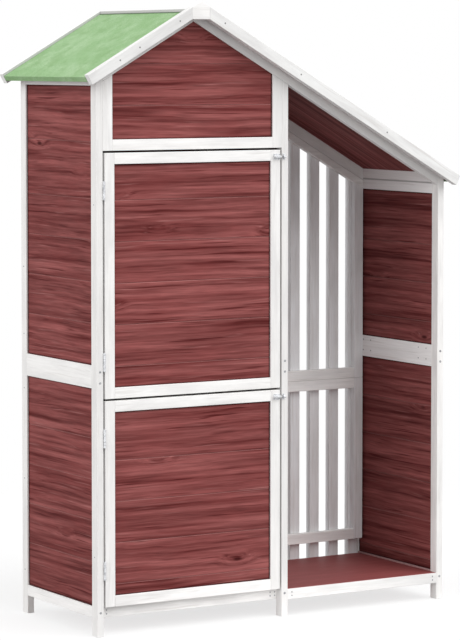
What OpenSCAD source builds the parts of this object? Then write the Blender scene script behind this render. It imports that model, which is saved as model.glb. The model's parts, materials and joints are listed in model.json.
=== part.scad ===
// Garden shed: a two-door cupboard under a gable, with an open lean-to under the long roof slope.
// X runs along the front, Y from front to back, Z up. The origin is on the ground, mid-way under the roof.

/* [Overall] */
// Width over the outer faces of the two end walls
body_w = 1130; // [1000:5:1300]
// Depth of the side walls, front to back
body_d = 440; // [390:5:560]
// Width of the cupboard, over the left wall and the divider
cupboard_w = 604; // [540:2:680]
// Height of the peak above the ground
peak_h = 1710; // [1650:5:1850]
// Pitch of both roof slopes, in degrees
pitch = 29.7; // [27:0.1:32]

/* [Battens] */
// Wide face of the framing battens
batten_w = 30; // [26:1:34]
// Thin face of the framing battens
batten_t = 20; // [16:1:24]
// Height of the feet under the bottom rails of the side walls
foot_h = 51; // [30:1:80]
// Underside of the middle rails above the ground
mid_rail_z = 671; // [500:1:760]
// Height of the middle rails
mid_rail_h = 62; // [40:1:80]
// Height of the top rails of the cupboard's side walls, at their outer faces
top_rail_h = 35; // [28:1:50]

/* [Infill panels] */
// Thickness of the infill panels
panel_t = 8; // [5:0.5:10]
// Depth of the grooves that hold the infill panels
groove_d = 9; // [5:0.5:11]
// Play of an infill panel in its grooves
panel_play = 0.3; // [0.2:0.1:0.6]

/* [Doors] */
// Gap round the doors
door_gap = 5.6; // [5:0.1:7]
// Bottom edge of the lower door above the ground
door_z = 79; // [70:1:100]
// Share of the doors' height that the lower door takes
lower_door_share = 0.458; // [0.4:0.002:0.52]
// Height of the front above the doors, at the outer face of the left wall
gable_h = 209; // [170:1:250]
// Distance from a door's end to the middle of its hinge
hinge_inset = 100; // [70:1:130]

/* [Hinges and latches] */
// Length of a hinge
hinge_l = 50; // [36:1:60]
// Outer diameter of the hinge knuckles
knuckle_d = 6; // [5:0.5:7]
// Diameter of the hinge pins
pin_d = 3; // [2:0.5:3.5]
// Thickness of the hinge leaves and latch plates
plate_t = 1.2; // [0.8:0.1:1.6]
// Depth of the hinge leaves, front to back
leaf_d = 16; // [12:1:18]
// Running clearance of a pin or a bolt in its bore, on the radius
pin_play = 0.05; // [0.02:0.01:0.1]
// Gap between one hinge knuckle and the next
knuckle_gap = 0.4; // [0.3:0.1:0.8]
// Distance from a door's top to the middle of its latch
latch_inset = 19; // [14:1:40]
// Diameter of the latch bolts
bolt_d = 5; // [4:0.5:6]
// Length of a latch case along the bolt
latch_l = 22; // [18:1:26]
// Height of the latch plates
latch_h = 16; // [14:1:22]
// Distance of a latch or a keeper from the edge that it stands at
latch_margin = 1; // [0.5:0.5:3]
// Length of a keeper along the bolt
keeper_l = 8; // [6:1:10]
// Diameter of the knob that slides a bolt
knob_d = 3.5; // [3:0.5:4]
// Height of the knob above its case
knob_h = 4; // [3:0.5:8]

/* [Roof] */
// Reach of the roof past the left wall
eave_left = 46; // [40:1:90]
// Reach of the roof past the right wall
eave_right = 30; // [24:1:90]
// Reach of the roof past the posts at the front, and past the walls at the back
verge = 40; // [30:1:80]
// Height of the bargeboards above the felt
barge_proud = 7; // [4:0.5:12]
// Hairline gap between the layers of the roof, and under the rafters
seat_gap = 0.2; // [0.1:0.1:0.4]
// Thickness of the felt
felt_t = 2; // [1.5:0.5:4]
// Thickness of the roof boards
roof_board_t = 8; // [6:0.5:12]
// Depth of the felt turned down over the eaves
felt_drip = 12; // [8:1:16]
// Width of the peak block between the front bargeboards
peak_block_w = 54; // [40:1:70]
// Width of the flat strip along the ridge
ridge_strip_w = 76; // [60:1:90]
// Thickness of the ridge strip
ridge_strip_t = 8; // [6:0.5:10]

/* [Floor and slats] */
// Underside of the floor rails above the ground
floor_rail_z = 47; // [30:1:60]
// Thickness of the floors
floor_t = 8; // [6:0.5:14]
// Distance of the slatted back from the back faces of the walls
slat_inset = 14; // [0:1:40]
// Number of slats
slat_count = 8; // [5:1:9]
// Width of a slat
slat_w = 32.5; // [24:0.5:38]
// Width of the slat beside the divider, which is cut to fit
cut_slat_w = 24; // [16:0.5:32]
// Gap between the last slat and the right wall
slat_margin = 5.5; // [2:0.5:12]
// Bottom of the slatted back's frame above the ground
slat_frame_z = 124; // [100:1:160]
// Joint between the two stacked frames of the slatted back, above the ground
slat_joint_z = 607; // [500:1:700]
// Hairline gap between the stacked frames
joint_gap = 0.5; // [0.3:0.1:0.8]

/* [Hidden] */
$fn = 32;
peak_x = cupboard_w / 2;
divider_x = cupboard_w - batten_t;
right_x = body_w - batten_t;
slope = tan(pitch);
// How far the roof's layers lie below the top line of the bargeboards, square to the slope
felt_v = barge_proud;
board_v = felt_v + felt_t + seat_gap;
rafter_v = board_v + roof_board_t + seat_gap;
gable_v = rafter_v + batten_w + seat_gap;
slat_rail_v = gable_v + joint_gap;
slat_stile_v = slat_rail_v + batten_t;
// Slope lengths from the peak to the eaves
run_left = (peak_x + eave_left) / cos(pitch);
run_right = (body_w + eave_right - peak_x) / cos(pitch);
ridge_z = line_z(ridge_strip_w / 2, felt_v);
front_y = -verge;
back_y = body_d + verge;
// Heights of the front
wall_top_z = line_z(peak_x, rafter_v);
gable_z = wall_top_z - gable_h;
doors_h = gable_z - door_z - 2 * door_gap;
lower_door_h = doors_h * lower_door_share;
upper_door_h = doors_h - lower_door_h;
upper_door_z = door_z + lower_door_h + door_gap;
door_x = batten_t + door_gap;
door_w = divider_x - batten_t - 2 * door_gap;
cupboard_top_z = wall_top_z - top_rail_h;
right_top_z = line_z(right_x - peak_x, rafter_v) - batten_w;
right_rail_z = right_top_z - batten_w;
floor_z = floor_rail_z + batten_w - floor_t;
// Depths of the back
back_frame_y = body_d - batten_t;
slat_y = back_frame_y - slat_inset;
slat_frame_y = slat_y - batten_t;
// Front of the cupboard's floor, behind the lower door
floor_front_y = batten_t + door_gap;
// Hinges: the pin stands in the gap beside the left post, just in front of it
hinge_x = batten_t + door_gap / 2;
hinge_y = -knuckle_d / 2;
knuckle_l = hinge_l / 3;
hinge_zs = [
    door_z + hinge_inset,
    door_z + lower_door_h - hinge_inset,
    upper_door_z + hinge_inset,
    upper_door_z + upper_door_h - hinge_inset
];
latch_zs = [door_z + lower_door_h - latch_inset, upper_door_z + upper_door_h - latch_inset];
latch_x = door_x + door_w - latch_l - latch_margin;
latch_y = -bolt_d / 2 - 2 * plate_t;
keeper_x = divider_x + latch_margin;
bolt_case_d = bolt_d + 2 * plate_t;
far = 3000;
cut = 1;
white = "whitesmoke";
stain = "#7d4444";
felt_green = "#9cc48c";
zinc = "#b9bcc0";

// Height of a roof line at a distance from the peak, v below the bargeboards' top line
function line_z(dx, v) = peak_h - dx * slope - v / cos(pitch);

// A box from its low corner to its high corner
module block(low, high) {
    translate(low) cube(high - low);
}

// Everything is drawn from the left wall's outer front corner, then set over the origin
module placed() {
    translate([-(body_w + eave_right - eave_left) / 2, -body_d / 2, 0]) children();
}

// The space below a roof line, v square to the slope under the bargeboards' top line
module below(v) {
    top = line_z(0, v);
    translate([0, far, 0]) rotate([90, 0, 0]) linear_extrude(2 * far)
        polygon([
            [peak_x - far, -far],
            [peak_x - far, top - far * slope],
            [peak_x, top],
            [peak_x + far, top - far * slope],
            [peak_x + far, -far]
        ]);
}

// Children drawn along one slope: X down the slope from the peak, Z square to it
module on_slope(side) {
    translate([peak_x, 0, peak_h]) mirror([side < 0 ? 1 : 0, 0, 0]) rotate([0, pitch, 0]) children();
}

// A flat layer of one slope, between two depths under the bargeboards' top line
module slope_layer(side, run, y0, y1, v0, v1) {
    on_slope(side) block([-batten_w, y0, -v1], [run, y1, -v0]);
}

// One side of the peak, out to a distance from it
module side_of_peak(side, near, reach) {
    x0 = side < 0 ? peak_x - reach : peak_x + near;
    x1 = side < 0 ? peak_x - near : peak_x + reach;
    block([x0, -far, -far], [x1, far, far]);
}

// Infill of a side wall: its grooves are the same block with the play added
module side_panel(x, z0, z1, play) {
    mid = x + batten_t / 2;
    hold = groove_d - panel_play + play;
    block(
        [mid - panel_t / 2 - play, batten_w - hold, z0 - hold],
        [mid + panel_t / 2 + play, body_d - batten_w + hold, z1 + hold]
    );
}

module side_panels(x, top_z, play) {
    side_panel(x, foot_h + batten_w, mid_rail_z, play);
    side_panel(x, mid_rail_z + mid_rail_h, top_z, play);
}

module side_stiles(x, top_z, front_v, back_v) {
    difference() {
        union() {
            intersection() {
                block([x, 0, 0], [x + batten_t, batten_w, far]);
                below(front_v);
            }
            intersection() {
                block([x, body_d - batten_w, 0], [x + batten_t, body_d, far]);
                below(back_v);
            }
        }
        side_panels(x, top_z, panel_play);
    }
}

module side_rail(x, z0, z1) {
    block([x, batten_w, z0], [x + batten_t, body_d - batten_w, z1]);
}

module side_rails(x, top_z, end_z) {
    difference() {
        union() {
            side_rail(x, foot_h, foot_h + batten_w);
            side_rail(x, mid_rail_z, mid_rail_z + mid_rail_h);
            intersection() {
                side_rail(x, top_z, end_z);
                below(rafter_v);
            }
        }
        side_panels(x, top_z, panel_play);
    }
}

module left_wall_stiles() {
    color(white) side_stiles(0, cupboard_top_z, rafter_v, rafter_v);
}

module left_wall_rails() {
    color(white) side_rails(0, cupboard_top_z, far);
}

module left_wall_panels() {
    color(stain) side_panels(0, cupboard_top_z, 0);
}

module divider_stiles() {
    color(white) side_stiles(divider_x, cupboard_top_z, gable_v, rafter_v);
}

module divider_rails() {
    color(white) side_rails(divider_x, cupboard_top_z, far);
}

module divider_panels() {
    color(stain) side_panels(divider_x, cupboard_top_z, 0);
}

module right_wall_stiles() {
    color(white) side_stiles(right_x, right_rail_z, rafter_v, rafter_v);
}

module right_wall_rails() {
    color(white) side_rails(right_x, right_rail_z, right_top_z);
}

module right_wall_panels() {
    color(stain) side_panels(right_x, right_rail_z, 0);
}

// Bevelled plate that carries the roof along the right wall
module right_eave_plate() {
    color(white) intersection() {
        side_rail(right_x, right_top_z, far);
        below(rafter_v);
    }
}

// Infill of the cupboard's front gable or back, between the side stiles and under the rafters
module end_panel(y, z0, z1, play) {
    mid = y + batten_t / 2;
    hold = groove_d - panel_play + play;
    intersection() {
        block(
            [batten_t + batten_w - hold, mid - panel_t / 2 - play, z0 - hold],
            [divider_x - batten_w + hold, mid + panel_t / 2 + play, z1 + hold]
        );
        below(gable_v - hold);
    }
}

module end_stiles(y, z0, v) {
    intersection() {
        union() {
            block([batten_t, y, z0], [batten_t + batten_w, y + batten_t, far]);
            block([divider_x - batten_w, y, z0], [divider_x, y + batten_t, far]);
        }
        below(v);
    }
}

module end_rail(y, z0, z1) {
    block([batten_t + batten_w, y, z0], [divider_x - batten_w, y + batten_t, z1]);
}

module gable_infill(play) {
    end_panel(0, gable_z + batten_w, far, play);
}

module gable_stiles() {
    color(white) difference() {
        end_stiles(0, gable_z, gable_v);
        gable_infill(panel_play);
    }
}

module gable_rail() {
    color(white) difference() {
        end_rail(0, gable_z, gable_z + batten_w);
        gable_infill(panel_play);
    }
}

module gable_panel() {
    color(stain) gable_infill(0);
}

module back_infill(play) {
    end_panel(back_frame_y, foot_h + batten_w, mid_rail_z, play);
    end_panel(back_frame_y, mid_rail_z + mid_rail_h, gable_z, play);
    end_panel(back_frame_y, gable_z + batten_w, far, play);
}

module back_wall_stiles() {
    color(white) difference() {
        end_stiles(back_frame_y, foot_h, gable_v);
        back_infill(panel_play);
    }
}

module back_wall_rails() {
    color(white) difference() {
        union() {
            end_rail(back_frame_y, foot_h, foot_h + batten_w);
            end_rail(back_frame_y, mid_rail_z, mid_rail_z + mid_rail_h);
            end_rail(back_frame_y, gable_z, gable_z + batten_w);
        }
        back_infill(panel_play);
    }
}

module back_wall_panels() {
    color(stain) back_infill(0);
}

// A rafter, level-cut where the ridge strip lies over it
module rafter(side, y, near, reach) {
    intersection() {
        slope_layer(side, far, y, y + batten_t, rafter_v, rafter_v + batten_w);
        side_of_peak(side, near, reach);
        block([-far, -far, -far], [far, far, ridge_z]);
    }
}

module left_rafters() {
    reach = peak_x - batten_t;
    color(white) difference() {
        union() {
            rafter(-1, 0, 0, reach);
            rafter(-1, back_frame_y, 0, reach);
        }
        gable_infill(panel_play);
        back_infill(panel_play);
    }
}

module right_rafters() {
    color(white) difference() {
        union() {
            rafter(1, 0, 0, right_x - peak_x);
            rafter(1, back_frame_y, 0, divider_x - peak_x);
            rafter(1, slat_frame_y, cupboard_w - peak_x, right_x - peak_x);
        }
        gable_infill(panel_play);
        back_infill(panel_play);
    }
}

// The slatted back of the lean-to: two stacked frames with slats behind them
module slat_frame_stile(x) {
    block(
        [x, slat_frame_y, slat_frame_z],
        [x + batten_w, slat_y, slat_joint_z - joint_gap / 2]
    );
    intersection() {
        block([x, slat_frame_y, slat_joint_z + joint_gap / 2], [x + batten_w, slat_y, far]);
        below(slat_stile_v);
    }
}

module slat_frame_stiles() {
    color(white) {
        slat_frame_stile(cupboard_w);
        slat_frame_stile(right_x - batten_w);
    }
}

module slat_frame_rail(z) {
    block([cupboard_w + batten_w, slat_frame_y, z], [right_x - batten_w, slat_y, z + batten_w]);
}

module slat_frame_rails() {
    color(white) {
        slat_frame_rail(slat_frame_z);
        slat_frame_rail(slat_joint_z - joint_gap / 2 - batten_w);
        slat_frame_rail(slat_joint_z + joint_gap / 2);
        intersection() {
            slope_layer(1, far, slat_frame_y, slat_y, slat_rail_v, slat_stile_v);
            block([cupboard_w, -far, 0], [right_x, far, far]);
        }
    }
}

// Slats spaced from the divider, where one is cut narrower, to the right wall
module back_slats() {
    first = cupboard_w + joint_gap;
    first_end = first + cut_slat_w;
    pace = (right_x - slat_margin - first_end) / (slat_count - 1);
    color(white) intersection() {
        for (i = [0 : slat_count - 1])
            block(
                [i == 0 ? first : first_end + i * pace - slat_w, slat_y, floor_rail_z],
                [first_end + i * pace, slat_y + batten_t, far]
            );
        below(rafter_v);
    }
}

// Floors, let in flush with the rails that carry them; spare widens them into the rails' rebates
module cupboard_boards(spare) {
    block(
        [batten_t - spare, floor_front_y + batten_t / 2, floor_z],
        [divider_x + spare, back_frame_y - batten_t / 2, floor_z + floor_t + spare]
    );
}

module lean_to_boards(spare) {
    block(
        [cupboard_w - spare, batten_t / 2, floor_z],
        [right_x + spare, slat_y - batten_t / 2, floor_z + floor_t + spare]
    );
}

module floor_rail(x0, x1, y) {
    block([x0, y, floor_rail_z], [x1, y + batten_t, floor_rail_z + batten_w]);
}

module floor_rails() {
    color(white) difference() {
        union() {
            floor_rail(batten_t, divider_x, floor_front_y);
            floor_rail(batten_t, divider_x, back_frame_y - batten_t);
            floor_rail(cupboard_w, right_x, 0);
            floor_rail(cupboard_w, right_x, slat_frame_y);
        }
        cupboard_boards(cut);
        lean_to_boards(cut);
    }
}

module cupboard_floor() {
    color(stain) cupboard_boards(0);
}

module lean_to_floor() {
    color(stain) lean_to_boards(0);
}

// Roof covering between the bargeboards, level-cut under the ridge strip
module covering(side, run, v0, v1) {
    intersection() {
        slope_layer(side, run, front_y + batten_t, back_y - batten_t, v0, v1);
        block([-far, -far, -far], [far, far, ridge_z]);
    }
}

module felt(side, run) {
    covering(side, run, felt_v, felt_v + felt_t);
    on_slope(side) block(
        [run - felt_t, front_y + batten_t, -board_v - felt_drip],
        [run, back_y - batten_t, -felt_v]
    );
}

module roof_boards(side, run) {
    covering(side, run - felt_t - seat_gap, board_v, board_v + roof_board_t);
}

module left_roof_boards() {
    color(stain) roof_boards(-1, run_left);
}

module right_roof_boards() {
    color(stain) roof_boards(1, run_right);
}

module left_roof_felt() {
    color(felt_green) felt(-1, run_left);
}

module right_roof_felt() {
    color(felt_green) felt(1, run_right);
}

module bargeboards(y, gap) {
    for (side = [-1, 1])
        intersection() {
            slope_layer(side, side < 0 ? run_left : run_right, y, y + batten_t, 0, batten_w);
            side_of_peak(side, gap / 2, far);
        }
}

module front_bargeboards() {
    color(white) bargeboards(front_y, peak_block_w);
}

module back_bargeboards() {
    color(white) bargeboards(back_y - batten_t, ridge_strip_w);
}

// Five-sided block that closes the front bargeboards at the peak
module peak_block() {
    half = peak_block_w / 2;
    color(white) translate([peak_x, front_y + batten_t, 0]) rotate([90, 0, 0])
        linear_extrude(batten_t) polygon([
            [-half, line_z(half, batten_w)],
            [half, line_z(half, batten_w)],
            [half, line_z(half, 0)],
            [0, peak_h],
            [-half, line_z(half, 0)]
        ]);
}

module ridge_strip() {
    half = ridge_strip_w / 2;
    color(white) block(
        [peak_x - half, front_y + batten_t, ridge_z],
        [peak_x + half, back_y, ridge_z + ridge_strip_t]
    );
}

// A framed door leaf, drawn in place between the posts
module door_infill(z0, h, play) {
    mid = batten_t / 2;
    hold = groove_d - panel_play + play;
    block(
        [door_x + batten_w - hold, mid - panel_t / 2 - play, z0 + batten_w - hold],
        [door_x + door_w - batten_w + hold, mid + panel_t / 2 + play, z0 + h - batten_w + hold]
    );
}

module door_stiles(z0, h) {
    color(white) difference() {
        for (x = [door_x, door_x + door_w - batten_w])
            block([x, 0, z0], [x + batten_w, batten_t, z0 + h]);
        door_infill(z0, h, panel_play);
    }
}

module door_rails(z0, h) {
    color(white) difference() {
        for (z = [z0, z0 + h - batten_w])
            block([door_x + batten_w, 0, z], [door_x + door_w - batten_w, batten_t, z + batten_w]);
        door_infill(z0, h, panel_play);
    }
}

module upper_door_stiles() {
    door_stiles(upper_door_z, upper_door_h);
}

module upper_door_rails() {
    door_rails(upper_door_z, upper_door_h);
}

module upper_door_panel() {
    color(stain) door_infill(upper_door_z, upper_door_h, 0);
}

module lower_door_stiles() {
    door_stiles(door_z, lower_door_h);
}

module lower_door_rails() {
    door_rails(door_z, lower_door_h);
}

module lower_door_panel() {
    color(stain) door_infill(door_z, lower_door_h, 0);
}

// Butt hinge: the leaf on the post carries the end knuckles, the leaf on the door the middle one
module knuckle(z, z0, z1) {
    translate([hinge_x, hinge_y, z + z0]) cylinder(d = knuckle_d, h = z1 - z0);
}

module pin_bore(z) {
    translate([hinge_x, hinge_y, z - hinge_l]) cylinder(r = pin_d / 2 + pin_play, h = 2 * hinge_l);
}

module post_leaf(z) {
    end = hinge_l / 2;
    mid = knuckle_l / 2 + knuckle_gap;
    difference() {
        union() {
            block([batten_t, hinge_y, z - end], [batten_t + plate_t, leaf_d, z - mid]);
            block([batten_t, hinge_y, z + mid], [batten_t + plate_t, leaf_d, z + end]);
            block([batten_t, knuckle_gap, z - end], [batten_t + plate_t, leaf_d, z + end]);
            knuckle(z, -end, -mid);
            knuckle(z, mid, end);
        }
        pin_bore(z);
    }
}

module door_leaf(z) {
    end = hinge_l / 2;
    mid = knuckle_l / 2;
    difference() {
        union() {
            block([door_x - plate_t, hinge_y, z - mid], [door_x, leaf_d, z + mid]);
            block([door_x - plate_t, knuckle_gap, z - end], [door_x, leaf_d, z + end]);
            knuckle(z, -mid, mid);
        }
        pin_bore(z);
    }
}

module post_hinge_leaves() {
    color(zinc) for (z = hinge_zs) post_leaf(z);
}

module lower_hinge_leaves() {
    color(zinc) for (i = [0, 1]) door_leaf(hinge_zs[i]);
}

module upper_hinge_leaves() {
    color(zinc) for (i = [2, 3]) door_leaf(hinge_zs[i]);
}

module hinge_pins() {
    color(zinc) for (z = hinge_zs)
        translate([hinge_x, hinge_y, z - hinge_l / 2]) cylinder(d = pin_d, h = hinge_l);
}

// A plate with a round case for a bolt standing on it, seen along X
module bolt_case(x, length, z, bore_r) {
    difference() {
        union() {
            block([x, -plate_t, z - latch_h / 2], [x + length, 0, z + latch_h / 2]);
            translate([x, latch_y, z]) rotate([0, 90, 0]) cylinder(d = bolt_case_d, h = length);
            block([x, latch_y, z - bolt_case_d / 2], [x + length, -plate_t / 2, z + bolt_case_d / 2]);
        }
        translate([x - cut, latch_y, z]) rotate([0, 90, 0]) cylinder(r = bore_r, h = length + 2 * cut);
    }
}

// Small barrel bolt on the door, drawn back: its knob slides in a slot of the case
module latch(z) {
    knob_x = latch_x + knob_d;
    travel = keeper_l + door_gap;
    difference() {
        bolt_case(latch_x, latch_l, z, bolt_d / 2 + pin_play);
        block(
            [knob_x - knob_d / 2 - knuckle_gap, latch_y - bolt_case_d, z - knob_d / 2 - knuckle_gap],
            [knob_x + knob_d / 2 + travel, latch_y, z + knob_d / 2 + knuckle_gap]
        );
    }
    translate([latch_x, latch_y, z]) rotate([0, 90, 0]) cylinder(d = bolt_d, h = latch_l);
    translate([knob_x, latch_y, z]) rotate([90, 0, 0]) cylinder(d = knob_d, h = bolt_case_d / 2 + knob_h);
}

// Keeper for a bolt, on the divider's front stile
module keeper(z) {
    bolt_case(keeper_x, keeper_l, z, bolt_d / 2 + knuckle_gap);
}

module lower_latch() {
    color(zinc) latch(latch_zs[0]);
}

module upper_latch() {
    color(zinc) latch(latch_zs[1]);
}

module latch_keepers() {
    color(zinc) for (z = latch_zs) keeper(z);
}

placed() left_wall_stiles();
placed() left_wall_rails();
placed() left_wall_panels();
placed() divider_stiles();
placed() divider_rails();
placed() divider_panels();
placed() right_wall_stiles();
placed() right_wall_rails();
placed() right_wall_panels();
placed() right_eave_plate();
placed() gable_stiles();
placed() gable_rail();
placed() gable_panel();
placed() left_rafters();
placed() right_rafters();
placed() back_wall_stiles();
placed() back_wall_rails();
placed() back_wall_panels();
placed() slat_frame_stiles();
placed() slat_frame_rails();
placed() back_slats();
placed() floor_rails();
placed() cupboard_floor();
placed() lean_to_floor();
placed() left_roof_boards();
placed() right_roof_boards();
placed() left_roof_felt();
placed() right_roof_felt();
placed() front_bargeboards();
placed() back_bargeboards();
placed() peak_block();
placed() ridge_strip();
placed() upper_door_stiles();
placed() upper_door_rails();
placed() upper_door_panel();
placed() lower_door_stiles();
placed() lower_door_rails();
placed() lower_door_panel();
placed() post_hinge_leaves();
placed() upper_hinge_leaves();
placed() lower_hinge_leaves();
placed() hinge_pins();
placed() upper_latch();
placed() lower_latch();
placed() latch_keepers();
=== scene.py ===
import json
import math

import bmesh
import bpy
from mathutils import Matrix, Vector


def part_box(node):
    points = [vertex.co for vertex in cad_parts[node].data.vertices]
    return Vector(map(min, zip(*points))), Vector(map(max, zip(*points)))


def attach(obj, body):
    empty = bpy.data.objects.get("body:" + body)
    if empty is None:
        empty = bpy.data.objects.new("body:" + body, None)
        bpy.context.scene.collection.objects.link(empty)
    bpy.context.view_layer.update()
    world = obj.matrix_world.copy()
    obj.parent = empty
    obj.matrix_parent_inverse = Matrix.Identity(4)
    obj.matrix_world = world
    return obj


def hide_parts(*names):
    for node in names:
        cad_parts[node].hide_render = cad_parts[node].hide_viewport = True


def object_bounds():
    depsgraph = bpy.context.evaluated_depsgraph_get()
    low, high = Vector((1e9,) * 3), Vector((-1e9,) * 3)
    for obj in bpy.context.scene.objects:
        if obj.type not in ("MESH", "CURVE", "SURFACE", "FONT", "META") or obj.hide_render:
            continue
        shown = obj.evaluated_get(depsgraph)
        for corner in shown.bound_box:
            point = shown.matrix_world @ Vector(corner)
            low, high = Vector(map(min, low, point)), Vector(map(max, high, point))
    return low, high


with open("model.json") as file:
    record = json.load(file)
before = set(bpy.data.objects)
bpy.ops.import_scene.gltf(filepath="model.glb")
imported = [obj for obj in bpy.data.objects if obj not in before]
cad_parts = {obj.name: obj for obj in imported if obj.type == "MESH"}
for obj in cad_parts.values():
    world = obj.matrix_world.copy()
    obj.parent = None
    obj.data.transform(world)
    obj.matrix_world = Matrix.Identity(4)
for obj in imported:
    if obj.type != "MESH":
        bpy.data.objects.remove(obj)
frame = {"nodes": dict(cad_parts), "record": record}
cadLow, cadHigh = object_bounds()
cadNodes = frame["nodes"]
bodyOf = {name: body for body, names in frame["record"]["behaviour"]["bodies"].items() for name in names}

# the roof's lines, taken from the peak block and the bargeboards
peakLow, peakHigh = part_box("peak_block")
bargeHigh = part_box("front_bargeboards")[1]
peakX = (peakLow.x + peakHigh.x) / 2
roofPitch = math.atan2(peakHigh.z - bargeHigh.z, (peakHigh.x - peakLow.x) / 2)
roofFall, roofSquare = math.tan(roofPitch), math.cos(roofPitch)
print("frame loaded:", len(cadNodes), "nodes, roof pitch", round(math.degrees(roofPitch), 1))


# small helpers for node trees

def addNode(tree, kind, inputs=None, **settings):
    made = tree.nodes.new(kind)
    for key, value in settings.items():
        setattr(made, key, value)
    for key, value in (inputs or {}).items():
        if isinstance(value, bpy.types.NodeSocket):
            tree.links.new(value, made.inputs[key])
        else:
            made.inputs[key].default_value = value
    return made


def calc(tree, operation, a, b=0.0):
    return addNode(tree, "ShaderNodeMath", {0: a, 1: b}, operation=operation).outputs[0]


def vectorNode(tree, operation, *terms):
    return addNode(tree, "ShaderNodeVectorMath", dict(enumerate(terms)), operation=operation)


def vectorCalc(tree, operation, *terms):
    return vectorNode(tree, operation, *terms).outputs["Vector"]


def vectorValue(tree, operation, *terms):
    return vectorNode(tree, operation, *terms).outputs["Value"]


def joinXyz(tree, inputs):
    return addNode(tree, "ShaderNodeCombineXYZ", inputs).outputs[0]


def splitXyz(tree, vector):
    return addNode(tree, "ShaderNodeSeparateXYZ", {0: vector}).outputs


def firstChannel(tree, colour):
    return addNode(tree, "ShaderNodeSeparateColor", {0: colour}).outputs[0]


def objectPlace(tree):
    return addNode(tree, "ShaderNodeTexCoord").outputs["Object"]


def geometryOf(tree, output):
    return addNode(tree, "ShaderNodeNewGeometry").outputs[output]


def remap(tree, value, low, high, toLow=0.0, toHigh=1.0, smooth=True):
    kind = "SMOOTHSTEP" if smooth else "LINEAR"
    inputs = {0: value, 1: low, 2: high, 3: toLow, 4: toHigh}
    return addNode(tree, "ShaderNodeMapRange", inputs, interpolation_type=kind).outputs[0]


def mixColour(tree, factor, a, b, blend="MIX"):
    made = addNode(tree, "ShaderNodeMix", {0: factor, 6: a, 7: b}, data_type="RGBA", blend_type=blend)
    return made.outputs[2]


def mixShare(tree, mask, share, a, b):
    return mixColour(tree, calc(tree, "MULTIPLY", mask, share), a, b)


def tinted(tree, colour, tone):
    grey = addNode(tree, "ShaderNodeCombineColor", {0: tone, 1: tone, 2: tone}).outputs[0]
    return mixColour(tree, 1.0, colour, grey, "MULTIPLY")


def stretchedNoise(tree, place, stretch, detail):
    scaled = vectorCalc(tree, "MULTIPLY", place, stretch)
    inputs = {"Vector": scaled, "Scale": 1.0, "Detail": detail, "Roughness": 0.55}
    return addNode(tree, "ShaderNodeTexNoise", inputs).outputs[0]


def setBump(tree, shader, height, strength, distance):
    bump = addNode(tree, "ShaderNodeBump", {"Strength": strength, "Distance": distance, "Height": height})
    tree.links.new(bump.outputs[0], shader.inputs["Normal"])


def newGroup(name, inputs, outputs):
    group = bpy.data.node_groups.new(name, "ShaderNodeTree")
    for label, kind, value in inputs:
        socket = group.interface.new_socket(label, in_out="INPUT", socket_type=kind)
        if value is not None:
            socket.default_value = value
    for label in outputs:
        group.interface.new_socket(label, in_out="OUTPUT", socket_type="NodeSocketFloat")
    return group, group.nodes.new("NodeGroupInput").outputs, group.nodes.new("NodeGroupOutput").inputs


def newMaterial(name):
    made = bpy.data.materials.new(name)
    made.use_nodes = True
    return made, made.node_tree, made.node_tree.nodes["Principled BSDF"]


# sawn softwood grain: X runs along the fibres, in metres; each noise has a stretch, a detail and the range that shows
softwoodGrain = {
    "jump": (7.3, 3.1, 5.7),  # every board is cut from another part of the tree
    "knotCells": (3.1, 9.0, 9.0),
    "knotReach": (0.018, 0.062),
    "swirlReach": 0.26,
    "swirl": 0.012,
    "wander": ((2.4, 8.0, 8.0), 2.0),
    "wanderSize": 0.020,
    "bands": ((1.9, 70.0, 70.0), 3.0, (0.30, 0.70)),
    "streaks": ((3.8, 145.0, 145.0), 2.0, (0.57, 0.75)),
    "glints": ((4.4, 165.0, 165.0), 2.0, (0.60, 0.76)),
    "flecks": ((17.0, 300.0, 300.0), 3.0, (0.28, 0.72)),
    "fibres": ((24.0, 700.0, 700.0), 2.0),
    "mottle": ((6.0, 30.0, 30.0), 4.0, (0.36, 0.70)),
    "relief": {"fibres": 0.6, "streaks": 0.35, "knots": 0.25},
}


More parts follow.
